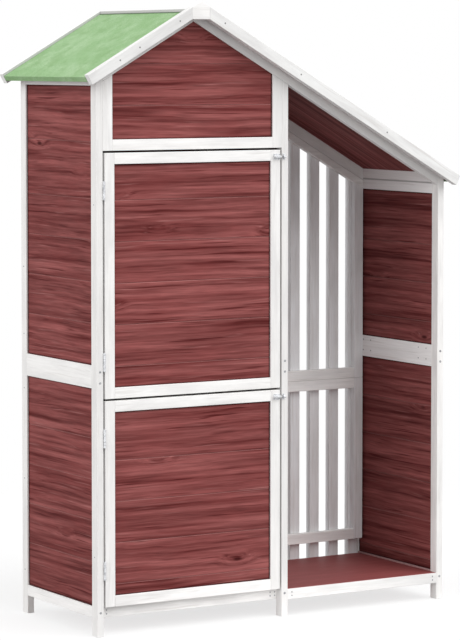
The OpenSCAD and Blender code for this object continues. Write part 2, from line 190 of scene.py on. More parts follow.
def makeGrainGroup():
    look = softwoodGrain
    labels = ("Bands", "Streaks", "Glints", "Flecks", "Fibres", "Knots", "Mottle", "Height")
    group, given, out = newGroup(
        "softwoodGrain",
        [("Place", "NodeSocketVector", None), ("Board", "NodeSocketFloat", 0.0),
         ("Knot Share", "NodeSocketFloat", 0.2)],
        labels)

    def grainNoise(name, place, smooth=True):
        stretch, detail, shown = look[name]
        return remap(group, stretchedNoise(group, place, stretch, detail), *shown, smooth=smooth)

    jump = addNode(group, "ShaderNodeVectorMath", {0: look["jump"], "Scale": given["Board"]}, operation="SCALE")
    place = vectorCalc(group, "ADD", given["Place"], jump.outputs[0])
    # knots are long ovals, and only some cells hold one
    knotPlace = vectorCalc(group, "MULTIPLY", place, look["knotCells"])
    cells = addNode(group, "ShaderNodeTexVoronoi", {"Vector": knotPlace, "Scale": 1.0}).outputs
    chosen = calc(group, "LESS_THAN", firstChannel(group, cells["Color"]), given["Knot Share"])
    knots = calc(group, "MULTIPLY", remap(group, cells["Distance"], *look["knotReach"], 1.0, 0.0), chosen)
    bend = remap(group, cells["Distance"], 0.0, look["swirlReach"], look["swirl"], 0.0)
    # the fibres wander and bend round the knots
    wander = calc(group, "MULTIPLY", stretchedNoise(group, place, *look["wander"]), look["wanderSize"])
    sway = calc(group, "ADD", wander, calc(group, "MULTIPLY", bend, chosen))
    bent = vectorCalc(group, "ADD", place, joinXyz(group, {1: sway, 2: sway}))
    bands = grainNoise("bands", bent, smooth=False)
    streaks = grainNoise("streaks", bent)
    glints = grainNoise("glints", bent)
    flecks = grainNoise("flecks", bent, smooth=False)
    fibres = stretchedNoise(group, bent, *look["fibres"])
    mottle = grainNoise("mottle", place)
    height = calc(group, "MULTIPLY", fibres, look["relief"]["fibres"])
    height = calc(group, "SUBTRACT", height, calc(group, "MULTIPLY", streaks, look["relief"]["streaks"]))
    height = calc(group, "SUBTRACT", height, calc(group, "MULTIPLY", knots, look["relief"]["knots"]))
    for label, socket in zip(labels, (bands, streaks, glints, flecks, fibres, knots, mottle, height)):
        group.links.new(socket, out[label])
    return group


grainGroup = makeGrainGroup()


# painted shade: a dark rim along the grooves that hold an infill panel, where the battens shade its edges
def makeRimGroup():
    group, given, out = newGroup(
        "grooveRim",
        [("Place", "NodeSocketVector", None), ("Low", "NodeSocketVector", None), ("High", "NodeSocketVector", None),
         ("Below Roof", "NodeSocketFloat", 1.0), ("Reach", "NodeSocketFloat", 0.004)],
        ["Rim"])
    fromLow = vectorCalc(group, "SUBTRACT", given["Place"], given["Low"])
    fromHigh = vectorCalc(group, "SUBTRACT", given["High"], given["Place"])
    gap = given["Below Roof"]
    for side in splitXyz(group, vectorCalc(group, "MINIMUM", fromLow, fromHigh)):
        gap = calc(group, "MINIMUM", gap, side)
    group.links.new(remap(group, gap, 0.0, given["Reach"], 1.0, 0.0), out["Rim"])
    return group


paintedShadeGroup = makeRimGroup()


# where the fibres of a piece run: along X, Y or Z, or down the roof slope
def grainPlace(tree, run):
    x, y, z = splitXyz(tree, objectPlace(tree))
    if run == "slope":
        side = calc(tree, "ABSOLUTE", calc(tree, "SUBTRACT", x, peakX))
        inputs = {"Vector": joinXyz(tree, {0: side, 1: y, 2: z}), "Angle": -roofPitch, "Axis": (0.0, 1.0, 0.0)}
        return addNode(tree, "ShaderNodeVectorRotate", inputs, rotation_type="AXIS_ANGLE").outputs[0]
    order = {"x": (x, z, y), "y": (y, z, x), "z": (z, x, y)}[run]
    return joinXyz(tree, dict(enumerate(order)))


def grainIn(tree, run, board, knotShare):
    inputs = {"Place": grainPlace(tree, run), "Board": board, "Knot Share": knotShare}
    return addNode(tree, "ShaderNodeGroup", inputs, node_tree=grainGroup).outputs


# tone of a board, with flecks
def boardTone(tree, board, grain, low, high, fleckTone):
    plain = remap(tree, board, 0.0, 1.0, low, high, smooth=False)
    return calc(tree, "MULTIPLY", plain, remap(tree, grain["Flecks"], 0.0, 1.0, *fleckTone, smooth=False))


fibreRange = (0.3, 0.7)


def finishWood(tree, shader, grain, look):
    roughness = remap(tree, grain["Fibres"], *fibreRange, *look["roughness"], smooth=False)
    tree.links.new(roughness, shader.inputs["Roughness"])
    shader.inputs["Specular IOR Level"].default_value = look["specular"]
    setBump(tree, shader, grain["Height"], *look["bump"])


redStain = {
    "dark": (0.092, 0.0168, 0.0165, 1.0),
    "light": (0.338, 0.108, 0.103, 1.0),
    # over the bands: mask, share, colour
    "layers": (
        ("Mottle", 0.25, (0.235, 0.048, 0.047, 1.0)),
        ("Glints", 0.42, (0.420, 0.185, 0.175, 1.0)),
        ("Streaks", 0.88, (0.076, 0.0090, 0.0095, 1.0)),
        ("Knots", 0.90, (0.045, 0.0060, 0.0065, 1.0)),
    ),
    "knotShare": 0.42,
    # painted shade along the panels' grooves and under the roof's frame
    "rim": (0.024, 0.0050, 0.0052, 1.0),
    "paintedShadeShare": 0.86,
    "paintedShadeReach": 0.006,
    # painted light and shade: the boards' tones differ by the way they run, the side walls' boards darker than those
    # of the front
    "runTone": {"x": 0.960, "y": 0.885, "slope": 0.92},
    "ior": 1.12,
    # painted highlight on the boards' upward-facing edges
    "paintedEdgeHighlight": (0.500, 0.235, 0.222, 1.0),
    "edgeHighlightShare": 0.42,
    "edgeHighlightRise": (0.3, 0.6),  # upward part of the normal
    "boardTone": (0.94, 1.06),
    "fleckTone": (0.84, 1.16),
    "specular": 0.4,
    "roughness": (0.50, 0.66),
    "bump": (0.35, 0.0008),
}


# depth below the line of the bargeboards' tops, square to the slope, less what lies over the panel
def depthUnderRoof(tree, here, cover):
    apart = splitXyz(tree, here)
    side = calc(tree, "ABSOLUTE", calc(tree, "SUBTRACT", apart["X"], peakX))
    line = calc(tree, "ADD", calc(tree, "MULTIPLY", side, -roofFall), peakHigh.z - cover / roofSquare)
    return calc(tree, "MULTIPLY", calc(tree, "SUBTRACT", line, apart["Z"]), roofSquare)


def paintedShadeOf(tree, openings, cover):
    here = objectPlace(tree)
    below = depthUnderRoof(tree, here, cover) if cover else 1.0
    rim = None
    for low, high in openings:
        inputs = {"Place": here, "Low": low, "High": high, "Below Roof": below, "Reach": redStain["paintedShadeReach"]}
        one = addNode(tree, "ShaderNodeGroup", inputs, node_tree=paintedShadeGroup).outputs["Rim"]
        rim = one if rim is None else calc(tree, "MINIMUM", rim, one)
    return rim


def makeRedStain(name, run, openings=(), cover=0.0):
    look = redStain
    made, tree, shader = newMaterial("redStain_" + name)
    board = geometryOf(tree, "Random Per Island")
    grain = grainIn(tree, run, board, look["knotShare"])
    colour = mixColour(tree, grain["Bands"], look["dark"], look["light"])
    for mask, share, tone in look["layers"]:
        colour = mixShare(tree, grain[mask], share, colour, tone)
    if run != "slope":
        # painted highlight: the eased upper edge of each board, which faces up, is paler
        upward = splitXyz(tree, geometryOf(tree, "True Normal"))["Z"]
        wearAndSheen = remap(tree, upward, *look["edgeHighlightRise"], 0.0, look["edgeHighlightShare"])
        colour = mixColour(tree, wearAndSheen, colour, look["paintedEdgeHighlight"])
    # painted shade along the grooves, and under the roof's frame on the gable and back panels
    if openings:
        colour = mixShare(tree, paintedShadeOf(tree, openings, cover), look["paintedShadeShare"], colour, look["rim"])
    low, high = (look["runTone"][run] * tone for tone in look["boardTone"])
    tone = boardTone(tree, board, grain, low, high, look["fleckTone"])
    tree.links.new(tinted(tree, colour, tone), shader.inputs["Base Color"])
    shader.inputs["IOR"].default_value = look["ior"]
    finishWood(tree, shader, grain, look)
    return made


stainedSheet = {
    "dark": (0.208, 0.0505, 0.0495, 1.0),
    "light": (0.256, 0.0700, 0.0690, 1.0),
    "shares": {"Bands": 0.55, "Mottle": 0.45},
    "specular": 0.10,
    "roughness": (0.52, 0.62),
    "bump": (0.15, 0.0005),
}


# the floors are plain sheet, stained evenly
def makeStainedSheet():
    look = stainedSheet
    made, tree, shader = newMaterial("stainedSheet")
    grain = grainIn(tree, "x", geometryOf(tree, "Random Per Island"), 0.0)
    bands, mottle = (calc(tree, "MULTIPLY", grain[mask], share) for mask, share in look["shares"].items())
    tone = calc(tree, "ADD", bands, mottle)
    tree.links.new(mixColour(tree, tone, look["dark"], look["light"]), shader.inputs["Base Color"])
    finishWood(tree, shader, grain, look)
    return made


# white wash on the battens, with pale tones by where a batten stands; these tones paint in part of the light and
# shade that falls on the battens
whiteWash = {
    "pale": {
        "rail": (0.945, 0.935, 0.925, 1.0),
        "leftRail": (0.890, 0.878, 0.868, 1.0),
        # painted light: the rails in the lean-to are paler
        "deepRail": (0.965, 0.962, 0.962, 1.0),
        # painted light and shade: the right wall's posts (farPost) are paler than the other posts (post)
        "post": (0.815, 0.804, 0.794, 1.0),
        "farPost": (0.950, 0.938, 0.925, 1.0),
        "door": (0.885, 0.876, 0.866, 1.0),
        "slope": (0.870, 0.862, 0.855, 1.0),
        "barge": (0.850, 0.852, 0.846, 1.0),
        "backBarge": (0.850, 0.852, 0.846, 1.0),
        "ridge": (0.890, 0.878, 0.868, 1.0),
        "floorRail": (0.945, 0.935, 0.925, 1.0),
        "shaded": (0.885, 0.900, 0.920, 1.0),
    },
    # the wash is thin, so bands, blotches and knots show through it faintly: mask, share, colour
    "layers": (
        ("Bands", 0.44, (0.770, 0.752, 0.730, 1.0)),
        ("Mottle", 0.56, (0.690, 0.680, 0.675, 1.0)),
        ("Streaks", 0.50, (0.640, 0.615, 0.590, 1.0)),
        ("Knots", 0.55, (0.470, 0.430, 0.390, 1.0)),
    ),
    # less mottle on the rails in the lean-to makes them paler, a painted light; the bargeboards' mottle is their own
    "ownShare": {("barge", "Mottle"): 0.75, ("deepRail", "Mottle"): 0.15},
    "knotShare": 0.40,
    "boardTone": (0.965, 1.02),
    "fleckTone": (0.965, 1.035),
    "specular": 0.18,
    "roughness": (0.50, 0.66),
    "bump": (0.28, 0.0006),
}

# tones laid over the wash on some battens
washMarks = {
    # painted light higher up on the shaded battens
    "highLift": (0.93, 1.08),
    "highLiftRise": (0.1, 1.3),
    # painted shadow line under the right eave plate
    "seam": (0.330, 0.318, 0.312, 1.0),
    "seamShadowShare": 0.75,
    "seamShadowReach": (0.0006, 0.0035),
    "lowRed": 0.80,
    "lowRedRise": (0.006, 0.009),  # above the floor
    "lowRedInset": 0.012,          # into the walls beside the lean-to
    "leftTone": (0.93, 1.0),
    "leftBlend": 0.004,
    # painted shade on the faces over the felt
    "shadeOverFelt": {"backBarge": ((0.0, -1.0, 0.0), 0.64), "ridge": ((-1.0, 0.0, 0.0), 0.60)},  # facing, tone
    "shadeOverFeltBlend": (0.3, 0.7),
    "topRed": (0.0006, 0.0002),    # below the tops of the floor rails
    "nail": (0.230, 0.228, 0.226, 1.0),
}

# small nail heads along the bargeboards, from the peak outwards, sunk flush with the face
bargeNails = {"out": (-0.250, -0.190, -0.066, 0.075, 0.319, 0.605), "below": 0.015, "radius": 0.0026, "core": 0.8}


def nailMask(tree):
    flat = vectorCalc(tree, "MULTIPLY", objectPlace(tree), (1.0, 0.0, 1.0))
    radius = bargeNails["radius"]
    mask = None
    for out in bargeNails["out"]:
        z = peakHigh.z - abs(out) * roofFall - bargeNails["below"] / roofSquare
        gap = vectorValue(tree, "DISTANCE", flat, (peakX + out, 0.0, z))
        spot = remap(tree, gap, radius * bargeNails["core"], radius, 1.0, 0.0)
        mask = spot if mask is None else calc(tree, "MAXIMUM", mask, spot)
    return mask


def markNails(tree, stand, colour):
    return mixColour(tree, nailMask(tree), colour, washMarks["nail"])


# painted light: the battens in the lean-to's shade are paler higher up, against the deeper shade under the roof
def paintLightHigher(tree, stand, colour):
    z = splitXyz(tree, objectPlace(tree))["Z"]
    return tinted(tree, colour, remap(tree, z, *washMarks["highLiftRise"], *washMarks["highLift"], smooth=False))


# painted shadow: a dark line along the joint under the right eave plate
def paintSeamShadow(tree, stand, colour):
    z = splitXyz(tree, objectPlace(tree))["Z"]
    joint = calc(tree, "ABSOLUTE", calc(tree, "SUBTRACT", z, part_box("right_eave_plate")[0].z))
    line = remap(tree, joint, *washMarks["seamShadowReach"], washMarks["seamShadowShare"], 0.0)
    return mixColour(tree, line, colour, washMarks["seam"])


# the lowest rail inside the lean-to takes the floor's red
def reddenLow(tree, stand, colour):
    apart = splitXyz(tree, objectPlace(tree))
    inset = washMarks["lowRedInset"]
    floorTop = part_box("lean_to_floor")[1].z
    inner = calc(tree, "LESS_THAN", apart["X"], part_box("right_wall_rails")[1].x - inset)
    outer = calc(tree, "GREATER_THAN", apart["X"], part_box("divider_rails")[1].x - inset)
    inside = calc(tree, "MULTIPLY", inner, outer)
    bottom, top = (floorTop + rise for rise in washMarks["lowRedRise"])
    low = calc(tree, "MULTIPLY", inside, remap(tree, apart["Z"], bottom, top, washMarks["lowRed"], 0.0))
    return mixColour(tree, low, colour, stainedSheet["light"])


# the left board is a little greyer
def greyLeft(tree, stand, colour):
    x = splitXyz(tree, objectPlace(tree))["X"]
    blend = washMarks["leftBlend"]
    return tinted(tree, colour, remap(tree, x, peakX - blend, peakX + blend, *washMarks["leftTone"]))


# painted shade: the faces of the back bargeboards and the ridge strip that stand over the felt are greyer
def paintShadeOverFelt(tree, stand, colour):
    facing, tone = washMarks["shadeOverFelt"][stand]
    over = vectorValue(tree, "DOT_PRODUCT", geometryOf(tree, "True Normal"), facing)
    return tinted(tree, colour, remap(tree, over, *washMarks["shadeOverFeltBlend"], 1.0, tone))


# the tops of the floor rails take the floor's red
def reddenTops(tree, stand, colour):
    z = splitXyz(tree, objectPlace(tree))["Z"]
    start, end = (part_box("floor_rails")[1].z - depth for depth in washMarks["topRed"])
    return mixColour(tree, remap(tree, z, start, end), colour, stainedSheet["light"])


marksOf = {
    "shaded": (paintLightHigher,),
    "deepRail": (paintSeamShadow, reddenLow),
    "barge": (greyLeft, markNails),
    "backBarge": (paintShadeOverFelt, markNails),
    "ridge": (paintShadeOverFelt,),
    "floorRail": (reddenTops,),
}


def makeWhiteWash(stand, run):
    look = whiteWash
    made, tree, shader = newMaterial("whiteWash_" + stand)
    board = geometryOf(tree, "Random Per Island")
    grain = grainIn(tree, run, board, look["knotShare"])
    colour = look["pale"][stand]
    for mask, share, tone in look["layers"]:
        colour = mixShare(tree, grain[mask], look["ownShare"].get((stand, mask), share), colour, tone)
    colour = tinted(tree, colour, boardTone(tree, board, grain, *look["boardTone"], look["fleckTone"]))
    for mark in marksOf.get(stand, ()):
        colour = mark(tree, stand, colour)
    tree.links.new(colour, shader.inputs["Base Color"])
    finishWood(tree, shader, grain, look)
    return made


mineralFelt = {
    "green": (0.250, 0.418, 0.200, 1.0),
    "pale": (0.336, 0.494, 0.282, 1.0),
    "wearAndSheen": (0.214, 0.365, 0.162, 1.0),
    "deep": (0.190, 0.328, 0.150, 1.0),
    "chip": (0.450, 0.565, 0.395, 1.0),
    # painted shadow along the ridge strip and the bargeboards
    "paintedShadow": (0.052, 0.085, 0.045, 1.0),
    "granules": 900.0,
    "patches": ((13.0,) * 3, 4.0),  # stretch, detail
    "clouds": ((22.0,) * 3, 3.0),
    # ranges that the colours blend over, and their shares
    "paleBlend": (0.35, 0.65),
    "wornBlend": (0.45, 0.70, 0.0, 0.8),
    "deepBlend": (0.55, 1.0, 0.0, 0.75),
    "chipBlend": (0.0, 0.25, 0.45, 0.0),
    "stripBlend": (0.001, 0.007, 0.85, 0.0),
    "bargeBlend": (0.0, 0.005, 0.55, 0.0),
    "specular": 0.2,
    "roughness": (0.78, 0.95),
    "bump": (0.5, 0.0006),
}


def makeMineralFelt():
    look = mineralFelt
    made, tree, shader = newMaterial("mineralFelt")
    here = objectPlace(tree)
    apart = splitXyz(tree, here)
    chips = addNode(tree, "ShaderNodeTexVoronoi", {"Vector": here, "Scale": look["granules"]}).outputs
    chipTone = firstChannel(tree, chips["Color"])
    patches = stretchedNoise(tree, here, *look["patches"])
    clouds = stretchedNoise(tree, here, *look["clouds"])
    colour = mixColour(tree, remap(tree, patches, *look["paleBlend"]), look["green"], look["pale"])
    colour = mixColour(tree, remap(tree, clouds, *look["wornBlend"]), colour, look["wearAndSheen"])
    colour = mixColour(tree, remap(tree, chipTone, *look["deepBlend"]), colour, look["deep"])
    colour = mixColour(tree, remap(tree, chipTone, *look["chipBlend"]), colour, look["chip"])
    # painted shadow: dark lines on the felt beside the ridge strip and the bargeboards
    stripLow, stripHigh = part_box("ridge_strip")
    fromPeak = calc(tree, "ABSOLUTE", calc(tree, "SUBTRACT", apart["X"], peakX))
    besideStrip = calc(tree, "SUBTRACT", fromPeak, (stripHigh.x - stripLow.x) / 2)
    besideBarge = calc(tree, "SUBTRACT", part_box("left_roof_felt")[1].y, calc(tree, "ABSOLUTE", apart["Y"]))
    colour = mixColour(tree, remap(tree, besideStrip, *look["stripBlend"]), colour, look["paintedShadow"])
    colour = mixColour(tree, remap(tree, besideBarge, *look["bargeBlend"]), colour, look["paintedShadow"])
    tree.links.new(colour, shader.inputs["Base Color"])
    roughness = remap(tree, chipTone, 0.0, 1.0, *look["roughness"], smooth=False)
    tree.links.new(roughness, shader.inputs["Roughness"])
    shader.inputs["Specular IOR Level"].default_value = look["specular"]
    setBump(tree, shader, calc(tree, "SUBTRACT", chipTone, chips["Distance"]), *look["bump"])
    return made


zincSteel = {
    "bright": (0.74, 0.75, 0.77),
    "dull": (0.52, 0.53, 0.55),
    "spangle": 260.0,
    "dullBlend": (0.2, 0.9),
    "roughness": (0.42, 0.58),
    "dimples": ((700.0,) * 3, 2.0),  # stretch, detail
    "bump": (0.15, 0.0002),
    "finishes": {"zincPlate": (1.0, 0.35), "hingeZinc": (1.0, 0.25), "screwZinc": (0.55, 0.7)},  # tone, metallic
}


def makeZincSteel(name):
    look = zincSteel
    darken, metallic = look["finishes"][name]
    made, tree, shader = newMaterial(name)
    here = objectPlace(tree)
    spangle = addNode(tree, "ShaderNodeTexVoronoi", {"Vector": here, "Scale": look["spangle"]})
    tone = firstChannel(tree, spangle.outputs["Color"])
    bright, dull = (tuple(part * darken for part in look[key]) + (1.0,) for key in ("bright", "dull"))
    tree.links.new(mixColour(tree, remap(tree, tone, *look["dullBlend"]), bright, dull), shader.inputs["Base Color"])
    roughness = remap(tree, tone, 0.0, 1.0, *look["roughness"], smooth=False)
    tree.links.new(roughness, shader.inputs["Roughness"])
    shader.inputs["Metallic"].default_value = metallic
    setBump(tree, shader, stretchedNoise(tree, here, *look["dimples"]), *look["bump"])
    return made


sheetMaterial = makeStainedSheet()
feltMaterial = makeMineralFelt()
zincMaterial = makeZincSteel("zincPlate")
hingeMaterial = makeZincSteel("hingeZinc")
screwMaterial = makeZincSteel("screwZinc")
print("materials made:", len(bpy.data.materials))


# finish of the carried-over CAD nodes

meshJoin = 0.00001              # points nearer than this are one
flatAngle = math.radians(0.5)   # faces flatter than this are one
battenEdge = {"width": 0.0012, "segments": 2, "angle": 35}

# battens by where they stand: run of the grain, nodes
battens = {
    "post": ("z", ("left_wall_stiles", "divider_stiles", "back_wall_stiles")),
    "farPost": ("z", ("right_wall_stiles",)),
    "door": ("z", ("gable_stiles", "upper_door_stiles", "lower_door_stiles")),
    "shaded": ("z", ("slat_frame_stiles", "back_slats")),
    "rail": ("x", ("gable_rail", "back_wall_rails", "slat_frame_rails", "peak_block",
                   "upper_door_rails", "lower_door_rails")),
    "leftRail": ("y", ("left_wall_rails",)),
    "ridge": ("y", ("ridge_strip",)),
    "deepRail": ("y", ("divider_rails", "right_wall_rails", "right_eave_plate")),
    "slope": ("slope", ("left_rafters", "right_rafters")),
    "barge": ("slope", ("front_bargeboards",)),
    "backBarge": ("slope", ("back_bargeboards",)),
    "floorRail": ("x", ("floor_rails",)),
}
sheets = ("cupboard_floor", "lean_to_floor")
hinges = ("post_hinge_leaves", "upper_hinge_leaves", "lower_hinge_leaves", "hinge_pins")
latches = ("upper_latch", "lower_latch", "latch_keepers")
felts = ("left_roof_felt", "right_roof_felt")


def softenEdges(piece):
    piece.modifiers.new("weldSeams", "WELD").merge_threshold = meshJoin
    flat = piece.modifiers.new("flatFaces", "DECIMATE")
    flat.decimate_type = "DISSOLVE"
    flat.angle_limit = flatAngle
    bevel = piece.modifiers.new("easedEdges", "BEVEL")
    bevel.width = battenEdge["width"]
    bevel.segments = battenEdge["segments"]
    bevel.limit_method = "ANGLE"
    bevel.angle_limit = math.radians(battenEdge["angle"])
    bevel.harden_normals = False


def dress(names, material, wooden):
    for name in names:
        piece = cadNodes[name]
        piece.data.materials.clear()
        piece.data.materials.append(material)
        if wooden:
            softenEdges(piece)


for stand, (run, names) in battens.items():
    dress(names, makeWhiteWash(stand, run), True)
dress(sheets, sheetMaterial, True)
dress(hinges, hingeMaterial, False)
dress(latches, zincMaterial, False)
dress(felts, feltMaterial, False)
print("battens, felt and ironwork dressed")


# infill panels and roof cut into boards

infillBoards = {
    "width": 0.1116,
    # boards of other widths, from the top: lower panel, upper panel
    "topmost": {
        "left_wall_panels": ((0.1425,), (0.1575, 0.1517)),
        "right_wall_panels": ((0.1235,), (0.1555,)),
        "upper_door_panel": ((0.1050,), (0.1050,)),
        "lower_door_panel": ((0.1397,), (0.1397,)),
    },
    "elsewhere": ((0.1235,), (0.1235,)),
    "sliver": 0.25,      # share of the width that is too narrow for a board
    "chamfer": 0.0026,   # the upper edge of a board
    "hold": 0.0087,      # depth of a panel in its grooves
    "thin": 0.05,        # a panel is thinner than this
}
midRail = (0.671, 0.733)  # heights of the middle rails

# depth of the gable's frame under the bargeboards' tops, square to the slope
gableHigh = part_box("gable_stiles")[1]
gableDepth = (peakHigh.z - (gableHigh.x - peakX) * roofFall - gableHigh.z) * roofSquare
roofedPanels = ("gable_panel", "back_wall_panels")

# node, direction across the boards, grain run, name of the boards
boardedNodes = (
    ("left_wall_panels", (0, 0, 1), "y", "leftWallBoards"),
    ("divider_panels", (0, 0, 1), "y", "dividerBoards"),
    ("right_wall_panels", (0, 0, 1), "y", "rightWallBoards"),
    ("back_wall_panels", (0, 0, 1), "x", "backWallBoards"),
    ("gable_panel", (0, 0, 1), "x", "gableBoards"),
    ("upper_door_panel", (0, 0, 1), "x", "upperDoorBoards"),
    ("lower_door_panel", (0, 0, 1), "x", "lowerDoorBoards"),
    ("left_roof_boards", (0, 1, 0), "slope", "leftRoofDecking"),
    ("right_roof_boards", (0, 1, 0), "slope", "rightRoofDecking"),
)


def addPiece(name, built, material):
    mesh = bpy.data.meshes.new(name)
    built.to_mesh(mesh)
    built.free()
    mesh.materials.append(material)
    piece = bpy.data.objects.new(name, mesh)
    bpy.context.scene.collection.objects.link(piece)
    return piece


def solidsOf(mesh):
    whole = bmesh.new()
    whole.from_mesh(mesh)
    bmesh.ops.remove_doubles(whole, verts=whole.verts, dist=meshJoin)
    bmesh.ops.dissolve_limit(whole, angle_limit=flatAngle, verts=whole.verts, edges=whole.edges)
    left = set(whole.faces)
    while left:
        grown, edge = set(), [min(left, key=lambda face: face.index)]
        while edge:
            face = edge.pop()
            if face in grown:
                continue
            grown.add(face)
            edge += [other for side in face.edges for other in side.link_faces if other not in grown]
        left -= grown
        yield [[tuple(vert.co) for vert in face.verts] for face in sorted(grown, key=lambda face: face.index)]
    whole.free()


def addSlice(into, faces, across, low, high):
    part = bmesh.new()
    for corners in faces:
        part.faces.new([part.verts.new(co) for co in corners])
    bmesh.ops.remove_doubles(part, verts=part.verts, dist=meshJoin)
    for limit, outward in ((low, -across), (high, across)):
        cut = bmesh.ops.bisect_plane(part, geom=part.verts[:] + part.edges[:] + part.faces[:], dist=meshJoin / 10,
                                     plane_co=across * limit, plane_no=outward, clear_outer=True)
        rim = [item for item in cut["geom_cut"] if isinstance(item, bmesh.types.BMEdge)]
        if rim:
            bmesh.ops.edgeloop_fill(part, edges=rim)
    bmesh.ops.recalc_face_normals(part, faces=part.faces)
    moved = {vert: into.verts.new(vert.co) for vert in part.verts}
    for face in part.faces:
        into.faces.new([moved[vert] for vert in face.verts])
    # the upper edges are marked for the chamfer
    weight = into.edges.layers.float["bevel_weight_edge"]
    for side in part.edges:
        if all(abs(across.dot(vert.co) - high) < meshJoin for vert in side.verts):
            into.edges.get([moved[vert] for vert in side.verts])[weight] = 1.0
    part.free()


# what shows of a panel between its grooves; its thickness is left open
def openingOf(faces):
    corners = [co for face in faces for co in face]
    low = [min(co[axis] for co in corners) for axis in range(3)]
    high = [max(co[axis] for co in corners) for axis in range(3)]
    for axis in range(3):
        rim = infillBoards["hold"] if high[axis] - low[axis] > infillBoards["thin"] else -1.0
        low[axis] += rim
        high[axis] -= rim
    return low, high


# seams are counted down from the top; a sliver left at the bottom joins the board above it
def seamsOf(bottom, top, widths):
    width, chamfer = infillBoards["width"], infillBoards["chamfer"]
    widths = list(widths)
    seams = [top + chamfer]
    seam = top - widths.pop(0)
    while seam > bottom + width * infillBoards["sliver"]:
        seams.append(seam)
        seam -= widths.pop(0) if widths else width
    return seams + [bottom - chamfer]


def addBoards(node, across, run, name):
    across = Vector(across)
    boards = bmesh.new()
    boards.edges.layers.float.new("bevel_weight_edge")
    openings = []
    topmost = infillBoards["topmost"].get(node, infillBoards["elsewhere"])
    for faces in solidsOf(cadNodes[node].data):
        reach = [across.dot(Vector(co)) for corners in faces for co in corners]
        bottom, top = min(reach), max(reach)
        openings.append(openingOf(faces))
        seams = seamsOf(bottom, top, topmost[1 if bottom > midRail[0] else 0])
        for high, low in zip(seams, seams[1:]):
            addSlice(boards, faces, across, low, high)
    cover = gableDepth if node in roofedPanels else 0.0
    material = makeRedStain(name, run, () if run == "slope" else openings, cover)
    piece = addPiece(name, boards, material)
    bevel = piece.modifiers.new("easedEdges", "BEVEL")
    bevel.width = infillBoards["chamfer"]
    bevel.segments = 1
    bevel.limit_method = "WEIGHT"
    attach(piece, bodyOf[node])
    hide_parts(node)


for entry in boardedNodes:
    addBoards(*entry)
print("boards cut:", len(boardedNodes), "pieces")


# screws and nails

fixings = {
    "screwRadius": 0.0034,
    "nailRadius": 0.0021,
    "tinyRadius": 0.0012,
    "sunk": 0.3,    # depth of a head in the wood, as a share of its radius
    "rise": 0.22,   # height of a head as a share of its radius
    "sides": 20,
    "turn": 0.7,    # from one head to the next
    # rings from the edge inwards: share of the radius, share of the rise, depth of the lobes
    "rings": ((1.0, 0.35, 0.0), (0.86, 1.0, 0.0), (0.52, 1.0, 0.26), (0.34, 0.12, 0.20)),
}


# a domed head with a four-lobed recess, drawn facing +Z
def addHead(into, centre, facing, radius, turn):
    sides, rise = fixings["sides"], fixings["rise"] * radius
    rings = [(1.0, -fixings["sunk"] * radius, 0.0)]
    rings += [(share, height * rise, lobe) for share, height, lobe in fixings["rings"]]
    basis = facing.to_track_quat("Z", "Y").to_matrix().to_4x4()
    place = Matrix.Translation(centre) @ basis @ Matrix.Rotation(turn, 4, "Z")
    loops = []
    for share, height, lobe in rings:
        loop = []
        for index in range(sides):
            angle = 2 * math.pi * index / sides
            reach = radius * (share + lobe * (math.cos(4 * angle) - 1) / 2)
            point = Vector((reach * math.cos(angle), reach * math.sin(angle), height))
            loop.append(into.verts.new(place @ point))
        loops.append(loop)
    for lower, upper in zip(loops, loops[1:]):
        for index in range(sides):
            after = (index + 1) % sides
            into.faces.new((lower[index], lower[after], upper[after], upper[index]))
    into.faces.new(loops[-1])
    into.faces.new(list(reversed(loops[0])))


def addFixings(name, body, places, radius):
    heads = bmesh.new()
    for index, (co, facing) in enumerate(places):
        addHead(heads, Vector(co), Vector(facing), radius, index * fixings["turn"])
    piece = addPiece(name, heads, screwMaterial)
    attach(piece, body)


front, back, left, right = (0, -1, 0), (0, 1, 0), (-1, 0, 0), (1, 0, 0)

# screws through the stiles of the walls into the ends of their rails
wallScrews = {"bottomRail": 0.015, "midRail": 0.016}  # distance from the rail's edge


def wallScrewPlaces(wall):
    stileLow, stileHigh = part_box(wall + "_stiles")
    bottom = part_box(wall + "_rails")[0].z
    middle = (stileLow.x + stileHigh.x) / 2
    inset = wallScrews["midRail"]
    for z in (bottom + wallScrews["bottomRail"], midRail[0] + inset, midRail[1] - inset):
        yield (middle, stileLow.y, z), front
        yield (middle, stileHigh.y, z), back


wallPlaces = [place for wall in ("left_wall", "divider", "right_wall") for place in wallScrewPlaces(wall)]
addFixings("wallScrews", "shed", wallPlaces, fixings["screwRadius"])

# nails through the side faces of the outer walls, and through the ends of the middle rails inside the lean-to
sideNails = {
    "backStile": (0.123, 0.381, 0.636, 0.788, 0.976),
    "frontStile": (0.216, 1.165),
    "inset": 0.015,
    "railEnds": (0.027, 0.066),
    "railHeights": (0.690, 0.721),
    "floorRail": (0.057, 0.067),
    "floorInset": 0.014,
    "doorRail": (0.007, 0.022),
    "doorRailBack": 0.0256,
}
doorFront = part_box("lower_door_stiles")[0].y


